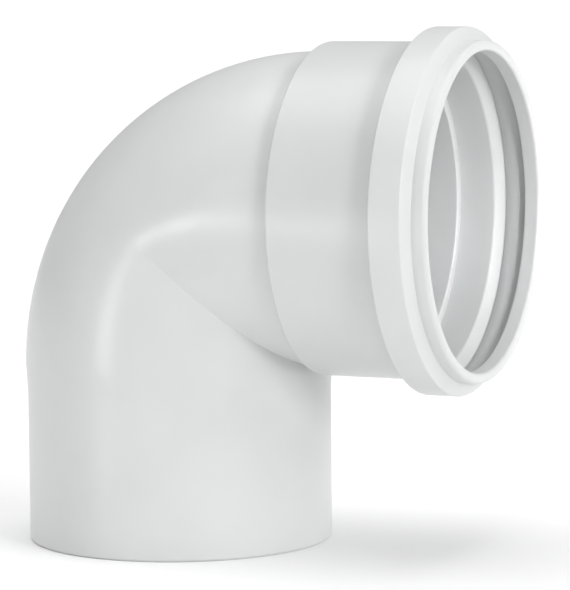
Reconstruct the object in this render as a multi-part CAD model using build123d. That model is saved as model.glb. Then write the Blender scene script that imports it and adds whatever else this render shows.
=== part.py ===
from build123d import *
import os

# A single-wall push-fit flue elbow that turns the duct through 90 degrees.
#
# The centre of the spigot's end is the origin, +Z runs up the spigot, and the socket opens along +X.
# All sizes are in millimetres. The two axes cross at the crossing, straight above the origin.
# A station is a distance along the socket's axis from the crossing, towards the mouth.

# The duct
tube_radius = 40.0            # outside of the spigot, and of every pipe that fits the socket
tube_wall = 2.2
leg_length = 88.0             # spigot's end to the socket's axis
throat_run = 1.0              # how far the turn's centre lies outside the inner corner
turn_swell = 0.45             # radial, the turn is moulded this much thicker than the spigot
swell_length = 7.0            # the spigot widens to the turn over this length
spigot_chamfer = 0.6

# The socket sleeve, which is joined over the bend's short stub
bare_stub = 2.5               # stub that stays uncovered behind the sleeve
lap_length = 20.4             # stub inside the sleeve
lap_taper = 1.0               # radial, narrower at the stub's end, so that the sleeve wedges on
sleeve_wall = 2.75
pipe_clearance = 0.25         # radial, between a pushed-in pipe and the sleeve's bore
plain_bore = 9.6              # length of bore from the pipe stop to the flare
flare_length = 2.2
flare_rise = 2.95             # radial, from the bore out to the seal's seat
seat_land = 1.0               # the seal's seat goes on this far past the flare
flange_height = 1.8           # radial, outside the seal's seat
flange_thickness = 2.4
sleeve_edge_round = 0.4

# The retaining collar, which snaps over the sleeve's flange and holds the seal
snap_clearance = 0.1          # radial, between the collar and the sleeve
hook_length = 2.0
collar_wall = 1.7
collar_chamfer_length = 1.7
collar_edge_round = 0.3
groove_width = 5.2            # free width between the sleeve's end and the collar's lip
lip_clearance = 0.7           # radial, between a pushed-in pipe and the mouth lip
lip_wall = 2.7
lip_length = 4.0
lip_outside_length = 3.6
rim_outer_round = 1.0
rim_inner_round = 0.8

# The lip seal, pressed flat
seal_thickness = 0.9          # its base and its folded lip together
seal_slope_length = 1.5       # it thins towards its rear edge over this length
seal_edge_thickness = 0.3
seal_side_gap = 0.1

# Radii that follow
duct_radius = tube_radius - tube_wall
turn_tube_radius = tube_radius + turn_swell
stub_end_radius = turn_tube_radius - lap_taper
bore_radius = tube_radius + pipe_clearance
sleeve_radius = bore_radius + sleeve_wall
seat_radius = bore_radius + flare_rise
flange_radius = seat_radius + flange_height
collar_radius = flange_radius + snap_clearance + collar_wall
mouth_radius = tube_radius + lip_clearance
lip_radius = mouth_radius + lip_wall

# Stations that follow
turn_radius = turn_tube_radius + throat_run
sleeve_rear = turn_radius + bare_stub
pipe_stop = sleeve_rear + lap_length
flare_start = pipe_stop + plain_bore
flare_end = flare_start + flare_length
sleeve_front = flare_end + seat_land
flange_rear = sleeve_front - flange_thickness
collar_rear = flange_rear - hook_length
groove_front = sleeve_front + groove_width
mouth = groove_front + lip_length
lip_root = mouth - lip_outside_length

OVERCUT = 5.0                 # how far a cutting shape passes the end that it opens


def place(shape):
    """Lifts a shape made about the crossing to its place above the spigot's end."""
    return Pos(0, 0, leg_length) * shape


def round_bar(radius, start, direction, length):
    return extrude(Plane(start, z_dir=direction) * Circle(radius), length)


def turn(radius):
    """A bar that turns from upright to level, swept round along its back and mitred in its throat.

    Below the 45 degree plane through the crossing, the bar is what a straight upright bar shares
    with a ring about the turn's centre. Above that plane it is the same again, mirrored.
    """
    mitre = Plane((0, 0, 0), x_dir=(0, 1, 0), z_dir=(1, 0, 1))
    upright = round_bar(radius, (0, 0, -turn_radius), (0, 0, 1), 3 * radius)
    turn_axis = Axis((turn_radius, 0, -turn_radius), (0, 1, 0))
    swept = revolve(Plane((0, 0, -turn_radius)) * Circle(radius), axis=turn_axis, revolution_arc=45)
    lower_half = split(upright, bisect_by=mitre, keep=Keep.BOTTOM) & swept
    return lower_half + mirror(lower_half, about=mitre)


def profile(points):
    """A closed outline in stations and radii, drawn above the socket's axis."""
    outline = Polyline([(station, 0, radius) for station, radius in points], close=True)
    return make_face(outline).face()


def rounded(face, corners):
    """Rounds the outline's corners, each given as (station, radius from the axis, rounding)."""
    for station, radius, rounding in corners:
        corner = face.vertices().sort_by_distance((station, 0, radius))[0]
        face = face.fillet_2d(rounding, [corner])
    return face


def turned(face):
    return revolve(face, axis=Axis.X, revolution_arc=360)


def make_bend():
    stub = turned(profile([
        (turn_radius, 0),
        (turn_radius, turn_tube_radius),
        (sleeve_rear, turn_tube_radius),
        (pipe_stop, stub_end_radius),
        (pipe_stop, 0),
    ]))
    leg = revolve(make_face(Polyline([
        (0, 0, -leg_length),
        (tube_radius, 0, -leg_length),
        (tube_radius, 0, -turn_radius - swell_length),
        (turn_tube_radius, 0, -turn_radius),
        (0, 0, -turn_radius),
    ], close=True)), axis=Axis.Z, revolution_arc=360)
    leg_bore = round_bar(duct_radius, (0, 0, -leg_length - OVERCUT), (0, 0, 1), leg_length + OVERCUT - turn_radius)
    stub_bore = round_bar(duct_radius, (turn_radius, 0, 0), (1, 0, 0), pipe_stop + OVERCUT - turn_radius)
    outside = leg + turn(turn_tube_radius) + stub
    hollow = outside - (leg_bore + turn(duct_radius) + stub_bore)
    end_circles = hollow.edges().filter_by(GeomType.CIRCLE).group_by(Axis.Z)[0]
    outer_edge = end_circles.sort_by(SortBy.LENGTH)[-1]
    return place(chamfer(outer_edge, spigot_chamfer))


def make_sleeve():
    outline = profile([
        (sleeve_rear, turn_tube_radius),
        (pipe_stop, stub_end_radius),
        (pipe_stop, bore_radius),
        (flare_start, bore_radius),
        (flare_end, seat_radius),
        (sleeve_front, seat_radius),
        (sleeve_front, flange_radius),
        (flange_rear, flange_radius),
        (flange_rear, sleeve_radius),
        (sleeve_rear, sleeve_radius),
    ])
    return place(turned(rounded(outline, [(sleeve_rear, sleeve_radius, sleeve_edge_round)])))


def make_collar():
    hook_radius = sleeve_radius + snap_clearance
    pocket_radius = flange_radius + snap_clearance
    outline = profile([
        (collar_rear, hook_radius),
        (flange_rear, hook_radius),
        (flange_rear, pocket_radius),
        (sleeve_front, pocket_radius),
        (sleeve_front, seat_radius),
        (groove_front, seat_radius),
        (groove_front, mouth_radius),
        (mouth, mouth_radius),
        (mouth, lip_radius),
        (lip_root, lip_radius),
        (lip_root - collar_chamfer_length, collar_radius),
        (collar_rear, collar_radius),
    ])
    return place(turned(rounded(outline, [
        (mouth, mouth_radius, rim_inner_round),
        (mouth, lip_radius, rim_outer_round),
        (collar_rear, collar_radius, collar_edge_round),
    ])))


def make_seal():
    """Drawn with its lip pressed flat into the groove, so that the pipe's way stays clear."""
    front = groove_front - seal_side_gap
    rear = flare_end + seal_side_gap
    face_radius = seat_radius - seal_thickness
    return place(turned(profile([
        (rear, seat_radius),
        (front, seat_radius),
        (front, face_radius),
        (rear + seal_slope_length, face_radius),
        (rear, seat_radius - seal_edge_thickness),
    ])))


def main():
    os.makedirs("parts", exist_ok=True)
    export_step(make_bend(), "parts/bend_tube.step")
    export_step(make_sleeve(), "parts/socket_sleeve.step")
    export_step(make_collar(), "parts/seal_retaining_collar.step")
    export_step(make_seal(), "parts/lip_seal.step")


main()
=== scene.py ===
import math

import bmesh
import bpy
from mathutils import Matrix, Vector


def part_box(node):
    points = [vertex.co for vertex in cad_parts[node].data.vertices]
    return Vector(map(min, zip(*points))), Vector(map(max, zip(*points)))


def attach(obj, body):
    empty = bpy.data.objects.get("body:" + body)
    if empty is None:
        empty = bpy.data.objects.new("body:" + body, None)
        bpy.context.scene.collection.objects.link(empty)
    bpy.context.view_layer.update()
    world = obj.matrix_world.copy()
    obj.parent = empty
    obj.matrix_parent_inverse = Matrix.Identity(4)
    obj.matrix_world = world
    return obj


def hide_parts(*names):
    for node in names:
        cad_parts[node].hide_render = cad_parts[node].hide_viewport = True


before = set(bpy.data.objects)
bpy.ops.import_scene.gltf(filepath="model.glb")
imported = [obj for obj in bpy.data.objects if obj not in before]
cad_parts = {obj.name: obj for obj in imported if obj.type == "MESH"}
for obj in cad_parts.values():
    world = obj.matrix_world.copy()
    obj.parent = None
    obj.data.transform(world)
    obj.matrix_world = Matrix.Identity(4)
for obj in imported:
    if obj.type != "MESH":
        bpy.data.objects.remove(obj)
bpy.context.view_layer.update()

# Sizes are in metres. The spigot's end is centred on the origin, and the socket opens along +X.
# A station is a distance along the socket's axis from the crossing, towards the mouth.
bend_low, bend_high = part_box("bend_tube")
sleeve_low, sleeve_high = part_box("socket_sleeve")
collar_low, collar_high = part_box("seal_retaining_collar")
seal_low, seal_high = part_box("lip_seal")

TURN_TUBE_RADIUS = bend_high.y
LEG_LENGTH = bend_high.z - TURN_TUBE_RADIUS
TUBE_RADIUS = 0.0400
DUCT_RADIUS = 0.0378
END_ROUND = 0.00022           # rounding of the bend's end edges
SPIGOT_CHAMFER = 0.0006
SPIGOT_CHAMFER_CURVE = (      # steps of the chamfer: parts of its length, parts of its depth
    (0.0, 1.0),
    (0.5, 0.42),
    (1.0, 0.06),
)
SPIGOT_CHAMFER_END = SPIGOT_CHAMFER * 1.4
SPIGOT_RING_HEIGHTS = (0.010, 0.025)
DUCT_RING_HEIGHT = 0.020
SWELL_LENGTH = 0.0070
SWELL_MIDDLE_RADIUS = TUBE_RADIUS + 0.00022
TURN_RADIUS = TURN_TUBE_RADIUS + 0.0010
TURN_START = LEG_LENGTH - TURN_RADIUS
PIPE_STOP = bend_high.x
STUB_END_RADIUS = TURN_TUBE_RADIUS - 0.0010

SLEEVE_REAR, SLEEVE_FRONT = sleeve_low.x, sleeve_high.x
BORE_RADIUS = 0.04025
SLEEVE_RADIUS = 0.0430
SEAT_RADIUS = 0.0432
FLANGE_RADIUS = sleeve_high.y
FLARE_START = PIPE_STOP + 0.0096
FLARE_END = FLARE_START + 0.0022
FLANGE_REAR = SLEEVE_FRONT - 0.0024

COLLAR_REAR, MOUTH = collar_low.x, collar_high.x
COLLAR_RADIUS = collar_high.y
HOOK_RADIUS = SLEEVE_RADIUS + 0.0001
POCKET_RADIUS = FLANGE_RADIUS + 0.0001
GROOVE_FRONT = MOUTH - 0.0040
LIP_ROOT = MOUTH - 0.0036
CHAMFER_REAR = LIP_ROOT - 0.0017
MOUTH_RADIUS = 0.0407
LIP_RADIUS = 0.0434

SEAL_REAR, SEAL_FRONT = seal_low.x, seal_high.x
SEAL_SLOPE_END = SEAL_REAR + 0.0015
SEAL_FACE_RADIUS = SEAT_RADIUS - 0.0009
SEAL_EDGE_RADIUS = SEAT_RADIUS - 0.0003

AROUND = 160                  # faces round every tube and ring
TURN_PAGES = 20               # steps in each half of the turn
CREASE = math.radians(11)     # edges that turn more sharply than this stay crisp
SAME_POINT = 0.000002         # vertices closer than this are one
ON_EDGE = 0.00001             # a vertex this close to a corner of the profile lies on it
FLAT_PAGE = 0.0005            # radians from either end of the turn within which it stays round
ON_MIDDLE = 1e-7              # a vertex this close to the middle plane stays on it
RIDGE_SOFTNESS = 0.05         # how much the turn's ridge is rounded, as a part of its depth


# Camera

def make_camera():
    azimuth, elevation = math.radians(23.6), math.radians(6.02)
    roll = math.radians(-0.49)
    aim, distance = Vector((0.0306, 0, 0.0651)), 0.8446
    back = Vector((
        math.sin(azimuth) * math.cos(elevation),
        -math.cos(azimuth) * math.cos(elevation),
        math.sin(elevation),
    ))
    level = Vector((math.cos(azimuth), math.sin(azimuth), 0))
    right = level * math.cos(roll) + back.cross(level) * math.sin(roll)
    up = back.cross(right)
    data = bpy.data.cameras.new("camera")
    data.lens, data.sensor_width, data.clip_start = 198.2, 36, 0.05
    camera = bpy.data.objects.new("camera", data)
    bpy.context.scene.collection.objects.link(camera)
    turned = Matrix((right, up, back)).transposed().to_4x4()
    camera.matrix_world = Matrix.Translation(aim + back * distance) @ turned
    bpy.context.scene.camera = camera


# Materials

REFRACTION = 1.49
GLOSS_CHANGE = 0.03           # how far the roughness strays either way
CLOUD_SIZE, CLOUD_START, CLOUD_END = 0.022, 0.36, 0.62
GLOSS_PATCH_SIZE = 0.011
NOISE_LOW, NOISE_HIGH = 0.3, 0.7
GRAIN_SIZE = 0.0006
WAVE_SIZE, WAVE_HEIGHT = 0.017, 0.00004


def plastic(name, colour, shade, roughness, relief=0.0000018):
    """Satin plastic or rubber: a faint cloudiness from colour to shade, patches of gloss, a fine
    moulded grain of the given relief, and long shallow waves."""
    material = bpy.data.materials.new(name)
    material.use_nodes = True
    nodes, links = material.node_tree.nodes, material.node_tree.links
    surface = nodes["Principled BSDF"]
    surface.inputs["IOR"].default_value = REFRACTION
    place = nodes.new("ShaderNodeTexCoord").outputs["Object"]

    def noise(size, detail, rough=0.5):
        texture = nodes.new("ShaderNodeTexNoise")
        texture.inputs["Scale"].default_value = 1 / size
        texture.inputs["Detail"].default_value = detail
        texture.inputs["Roughness"].default_value = rough
        links.new(place, texture.inputs["Vector"])
        return texture.outputs["Fac"]

    def ramp(factor, low, high, start, end):
        steps = nodes.new("ShaderNodeValToRGB")
        first, last = steps.color_ramp.elements
        first.position, first.color = start, low
        last.position, last.color = end, high
        links.new(factor, steps.inputs["Fac"])
        return steps.outputs["Color"]

    def spread(factor, low, high):
        span = nodes.new("ShaderNodeMapRange")
        span.inputs["From Min"].default_value = NOISE_LOW
        span.inputs["From Max"].default_value = NOISE_HIGH
        span.inputs["To Min"].default_value = low
        span.inputs["To Max"].default_value = high
        links.new(factor, span.inputs["Value"])
        return span.outputs["Result"]

    clouds = ramp(noise(CLOUD_SIZE, 3), (*shade, 1), (*colour, 1), CLOUD_START, CLOUD_END)
    links.new(clouds, surface.inputs["Base Color"])
    gloss = spread(
        noise(GLOSS_PATCH_SIZE, 4, 0.6), roughness - GLOSS_CHANGE, roughness + GLOSS_CHANGE)
    links.new(gloss, surface.inputs["Roughness"])
    fine = nodes.new("ShaderNodeBump")
    fine.inputs["Distance"].default_value = relief
    links.new(noise(GRAIN_SIZE, 2, 0.6), fine.inputs["Height"])
    waves = nodes.new("ShaderNodeBump")
    waves.inputs["Distance"].default_value = WAVE_HEIGHT
    links.new(noise(WAVE_SIZE, 1), waves.inputs["Height"])
    links.new(fine.outputs["Normal"], waves.inputs["Normal"])
    links.new(waves.outputs["Normal"], surface.inputs["Normal"])
    return material


# Mesh tools

def finish_piece(bm, name, node, material):
    """Makes the piece from the bmesh, in place of a CAD node, with crisp edges where it turns
    sharply."""
    bmesh.ops.remove_doubles(bm, verts=bm.verts, dist=SAME_POINT)
    bmesh.ops.recalc_face_normals(bm, faces=bm.faces)
    for face in bm.faces:
        face.smooth = True
    for edge in bm.edges:
        edge.smooth = edge.calc_face_angle(0) < CREASE
    mesh = bpy.data.meshes.new(name)
    bm.to_mesh(mesh)
    bm.free()
    mesh.materials.append(material)
    piece = bpy.data.objects.new(name, mesh)
    bpy.context.scene.collection.objects.link(piece)
    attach(piece, "root")
    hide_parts(node)


def drawn_on(bm, edges, travel, centre, scale):
    """Extrudes a ring of edges, moves it by travel, and scales it about its centre."""
    made = bmesh.ops.extrude_edge_only(bm, edges=edges)["geom"]
    ring = [v for v in made if isinstance(v, bmesh.types.BMVert)]
    bmesh.ops.translate(bm, verts=ring, vec=travel)
    about = Matrix.Translation(-(centre + travel))
    bmesh.ops.scale(bm, verts=ring, vec=(scale,) * 3, space=about)
    return [e for e in made if isinstance(e, bmesh.types.BMEdge)]


# The bend: a leg, a turn whose back is swept and whose throat is mitred, and a stub

def shape_turn(verts, radius):
    """Moves the spun turn's vertices onto a back that sweeps round the turn's centre and a throat
    that is cut as a mitre."""
    hinge = Vector((TURN_RADIUS, 0, TURN_START))
    for vert in verts:
        arm = vert.co - hinge
        angle = math.atan2(arm.z, -arm.x)
        reach = math.hypot(arm.x, arm.z)
        page = min(angle, math.pi / 2 - angle)
        if page < FLAT_PAGE:
            continue
        near = (TURN_RADIUS - radius) / math.cos(page)
        far = TURN_RADIUS + radius
        across = max(-1, min(1, (TURN_RADIUS - reach) / radius))
        reach = (near + far) / 2 - (far - near) / 2 * across
        swept = max(0, radius ** 2 - (reach - TURN_RADIUS) ** 2)
        mitred = max(0, radius ** 2 - (TURN_RADIUS - reach * math.cos(page)) ** 2)
        softness = RIDGE_SOFTNESS * math.sin(2 * page) ** 2
        gap = math.sqrt(((swept - mitred) / 2) ** 2 + softness ** 2 * swept * mitred)
        width = math.sqrt(max(0, (swept + mitred) / 2 - gap))
        side = math.copysign(width, arm.y) if abs(arm.y) > ON_MIDDLE else 0
        vert.co = hinge + Vector((-reach * math.cos(angle), side, reach * math.sin(angle)))


def duct_skin(bm, radius, leg_rings, stub_rings):
    """One wall of the bend, from the spigot's end to the stub's end. Each ring is (height or
    station, radius)."""
    height, size = leg_rings[0]
    start = bmesh.ops.create_circle(
        bm, segments=AROUND, radius=size, matrix=Matrix.Translation((0, 0, height)))["verts"]
    ring = list({edge for vert in start for edge in vert.link_edges})
    for next_height, next_size in leg_rings[1:]:
        travel = Vector((0, 0, next_height - height))
        ring = drawn_on(bm, ring, travel, Vector((0, 0, height)), next_size / size)
        height, size = next_height, next_size
    before = set(bm.verts)
    spun = bmesh.ops.spin(
        bm, geom=ring, cent=(TURN_RADIUS, 0, TURN_START), axis=(0, 1, 0), angle=math.pi / 2,
        steps=2 * TURN_PAGES, use_merge=False)
    shape_turn([vert for vert in bm.verts if vert not in before], radius)
    ring = [part for part in spun["geom_last"] if isinstance(part, bmesh.types.BMEdge)]
    station = TURN_RADIUS
    for next_station, next_size in stub_rings:
        travel = Vector((next_station - station, 0, 0))
        ring = drawn_on(bm, ring, travel, Vector((station, 0, LEG_LENGTH)), next_size / size)
        station, size = next_station, next_size


def make_bend(material):
    bm = bmesh.new()
    chamfer = [
        (SPIGOT_CHAMFER * along, TUBE_RADIUS - SPIGOT_CHAMFER * deep)
        for along, deep in SPIGOT_CHAMFER_CURVE
    ]
    duct_skin(bm, TURN_TUBE_RADIUS, [
        (0, DUCT_RADIUS + END_ROUND),
        *chamfer,
        (SPIGOT_CHAMFER_END, TUBE_RADIUS),
        *((height, TUBE_RADIUS) for height in SPIGOT_RING_HEIGHTS),
        (TURN_START - SWELL_LENGTH, TUBE_RADIUS),
        (TURN_START - SWELL_LENGTH * 0.5, SWELL_MIDDLE_RADIUS),
        (TURN_START, TURN_TUBE_RADIUS),
    ], [
        (SLEEVE_REAR, TURN_TUBE_RADIUS),
        (PIPE_STOP - END_ROUND, STUB_END_RADIUS),
        (PIPE_STOP, STUB_END_RADIUS - END_ROUND),
        (PIPE_STOP, DUCT_RADIUS + END_ROUND),
    ])
    duct_skin(bm, DUCT_RADIUS, [
        (0, DUCT_RADIUS + END_ROUND),
        (END_ROUND, DUCT_RADIUS),
        (DUCT_RING_HEIGHT, DUCT_RADIUS),
        (TURN_START, DUCT_RADIUS),
    ], [
        (PIPE_STOP - END_ROUND, DUCT_RADIUS),
        (PIPE_STOP, DUCT_RADIUS + END_ROUND),
    ])
    finish_piece(bm, "bend_shell", "bend_tube", material)


# The sleeve, collar and seal: rings turned about the socket's axis

def turned_ring(profile, roundings):
    """Spins a closed profile of (station, radius) corners, then rounds the edges listed as
    (station, radius, rounding)."""
    bm = bmesh.new()
    corners = [bm.verts.new((station, 0, LEG_LENGTH + radius)) for station, radius in profile]
    sides = [bm.edges.new((corners[i - 1], corners[i])) for i in range(len(corners))]
    bmesh.ops.spin(
        bm, geom=corners + sides, cent=(0, 0, LEG_LENGTH), axis=(1, 0, 0), angle=2 * math.pi,
        steps=AROUND, use_merge=True)
    bmesh.ops.recalc_face_normals(bm, faces=bm.faces)

    def lies_on(vert, station, radius):
        out = math.hypot(vert.co.y, vert.co.z - LEG_LENGTH)
        return abs(vert.co.x - station) < ON_EDGE and abs(out - radius) < ON_EDGE

    for station, radius, rounding in roundings:
        hoop = [e for e in bm.edges if all(lies_on(v, station, radius) for v in e.verts)]
        bmesh.ops.bevel(
            bm, geom=hoop, affect="EDGES", offset=rounding, segments=4, profile=0.5,
            material=-1, clamp_overlap=True)
    return bm


def make_sleeve(material):
    finish_piece(turned_ring([
        (SLEEVE_REAR, TURN_TUBE_RADIUS),
        (PIPE_STOP, STUB_END_RADIUS),
        (PIPE_STOP, BORE_RADIUS),
        (FLARE_START, BORE_RADIUS),
        (FLARE_END, SEAT_RADIUS),
        (SLEEVE_FRONT, SEAT_RADIUS),
        (SLEEVE_FRONT, FLANGE_RADIUS),
        (FLANGE_REAR, FLANGE_RADIUS),
        (FLANGE_REAR, SLEEVE_RADIUS),
        (SLEEVE_REAR, SLEEVE_RADIUS),
    ], [
        (SLEEVE_REAR, SLEEVE_RADIUS, 0.0005),
        (FLARE_START, BORE_RADIUS, 0.0005),
    ]), "sleeve_shell", "socket_sleeve", material)


def make_collar(material):
    finish_piece(turned_ring([
        (COLLAR_REAR, HOOK_RADIUS),
        (FLANGE_REAR, HOOK_RADIUS),
        (FLANGE_REAR, POCKET_RADIUS),
        (SLEEVE_FRONT, POCKET_RADIUS),
        (SLEEVE_FRONT, SEAT_RADIUS),
        (GROOVE_FRONT, SEAT_RADIUS),
        (GROOVE_FRONT, MOUTH_RADIUS),
        (MOUTH, MOUTH_RADIUS),
        (MOUTH, LIP_RADIUS),
        (LIP_ROOT, LIP_RADIUS),
        (CHAMFER_REAR, COLLAR_RADIUS),
        (COLLAR_REAR, COLLAR_RADIUS),
    ], [
        (MOUTH, MOUTH_RADIUS, 0.0008),
        (MOUTH, LIP_RADIUS, 0.0010),
        (COLLAR_REAR, COLLAR_RADIUS, 0.00035),
        (CHAMFER_REAR, COLLAR_RADIUS, 0.0003),
    ]), "collar_ring", "seal_retaining_collar", material)


def make_seal(material):
    """The seal with its lip pressed flat, so it lines the groove."""
    finish_piece(turned_ring([
        (SEAL_REAR, SEAT_RADIUS),
        (SEAL_FRONT, SEAT_RADIUS),
        (SEAL_FRONT, SEAL_FACE_RADIUS),
        (SEAL_SLOPE_END, SEAL_FACE_RADIUS),
        (SEAL_REAR, SEAL_EDGE_RADIUS),
    ], [
        (SEAL_FRONT, SEAL_FACE_RADIUS, 0.0004),
        (SEAL_SLOPE_END, SEAL_FACE_RADIUS, 0.0009),
    ]), "seal_ring", "lip_seal", material)


# The stage

FLOOR_HALF_SIDE = 60
FLOOR_WHITE = (0.97, 0.97, 0.97, 1)
SUN_DISTANCE = 2              # only where the lamp's marker stands; it doesn't change the light
SKY_SLOPE = (0.14, 0.13, 0.41)
SKY_LEVEL = 0.31


def make_floor():
    bm = bmesh.new()
    bmesh.ops.create_grid(bm, x_segments=1, y_segments=1, size=FLOOR_HALF_SIDE)
    mesh = bpy.data.meshes.new("floor")
    bm.to_mesh(mesh)
    bm.free()
    floor = bpy.data.objects.new("floor", mesh)
    bpy.context.scene.collection.objects.link(floor)
    material = bpy.data.materials.new("studio_paper")
    material.use_nodes = True
    surface = material.node_tree.nodes["Principled BSDF"]
    surface.inputs["Base Color"].default_value = FLOOR_WHITE
    surface.inputs["Roughness"].default_value = 0.9
    surface.inputs["Specular IOR Level"].default_value = 0.1
    mesh.materials.append(material)


def add_lamp(data, direction, location):
    lamp = bpy.data.objects.new(data.name, data)
    bpy.context.scene.collection.objects.link(lamp)
    lamp.location = location
    lamp.rotation_mode = "QUATERNION"
    lamp.rotation_quaternion = direction.to_track_quat("Z", "Y")


def soft_box(name, from_direction, distance, size, power, target, beam=180):
    """A square softbox aimed at the target. Its size and distance are in metres, its power in
    watts and its beam in degrees."""
    data = bpy.data.lights.new(name, "AREA")
    data.size, data.energy, data.spread = size, power, math.radians(beam)
    direction = Vector(from_direction).normalized()
    add_lamp(data, direction, target + direction * distance)


def far_light(name, from_direction, strength, softness):
    """A large light so far away that it is even all over the floor. Its softness is its width in
    degrees."""
    data = bpy.data.lights.new(name, "SUN")
    data.energy, data.angle = strength, math.radians(softness)
    direction = Vector(from_direction).normalized()
    add_lamp(data, direction, direction * SUN_DISTANCE)


def make_sky():
    """An even white studio, brighter above, and a little brighter on the right and at the back."""
    world = bpy.data.worlds.new("studio")
    bpy.context.scene.world = world
    world.use_nodes = True
    nodes, links = world.node_tree.nodes, world.node_tree.links
    slope = nodes.new("ShaderNodeVectorMath")
    slope.operation = "DOT_PRODUCT"
    slope.inputs[1].default_value = SKY_SLOPE
    links.new(nodes.new("ShaderNodeTexCoord").outputs["Generated"], slope.inputs[0])
    level = nodes.new("ShaderNodeMath")
    level.operation = "ADD"
    level.inputs[1].default_value = SKY_LEVEL
    links.new(slope.outputs["Value"], level.inputs[0])
    links.new(level.outputs["Value"], nodes["Background"].inputs["Strength"])
    nodes["Background"].inputs["Color"].default_value = (1, 1, 1, 1)


def make_lights():
    """Three broad lights, one overhead and two on the right, a small box on the front left for
    the gleam down the bend, and two narrow ones for the sleeve and the mouth."""
    bpy.context.scene.view_settings.view_transform = "Standard"
    far_light("overhead", (-0.15, -0.05, 1.0), strength=1.2, softness=50)
    far_light("key", (0.86, -0.44, 0.24), strength=1.0, softness=16)
    far_light("right", (0.84, -0.05, 0.54), strength=0.55, softness=25)
    soft_box(
        "front_left", (-0.53, -0.84, -0.045), distance=0.8, size=0.045, power=0.66,
        target=Vector((0.025, 0, 0.07)))
    soft_box(
        "sleeve_gleam", (-0.398, -0.884, -0.16), distance=0.42, size=0.03, power=0.00036,
        target=Vector((0.065, -0.043, 0.085)), beam=12)
    soft_box(
        "mouth", (0.78, -0.58, 0.22), distance=0.6, size=0.03, power=0.0060,
        target=Vector((0.077, 0.028, 0.086)), beam=10)


make_camera()
make_floor()
make_sky()
make_lights()

bend_white = plastic(
    "bend_white_plastic", colour=(0.662, 0.669, 0.669), shade=(0.640, 0.647, 0.647), roughness=0.32)
# The sleeve is the bend's white plastic painted a little darker: painted shade standing for the
# dimmer light that falls on the sleeve.
sleeve_white_painted_shade = plastic(
    "sleeve_white_plastic", colour=(0.630, 0.637, 0.637), shade=(0.610, 0.617, 0.617),
    roughness=0.32)
collar_white = plastic(
    "collar_white_plastic", colour=(0.658, 0.665, 0.665), shade=(0.636, 0.643, 0.643),
    roughness=0.33)
seal_grey = plastic(
    "seal_grey_rubber", colour=(0.60, 0.606, 0.606), shade=(0.575, 0.581, 0.581), roughness=0.55,
    relief=0.000004)

make_bend(bend_white)
make_sleeve(sleeve_white_painted_shade)
make_collar(collar_white)
make_seal(seal_grey)
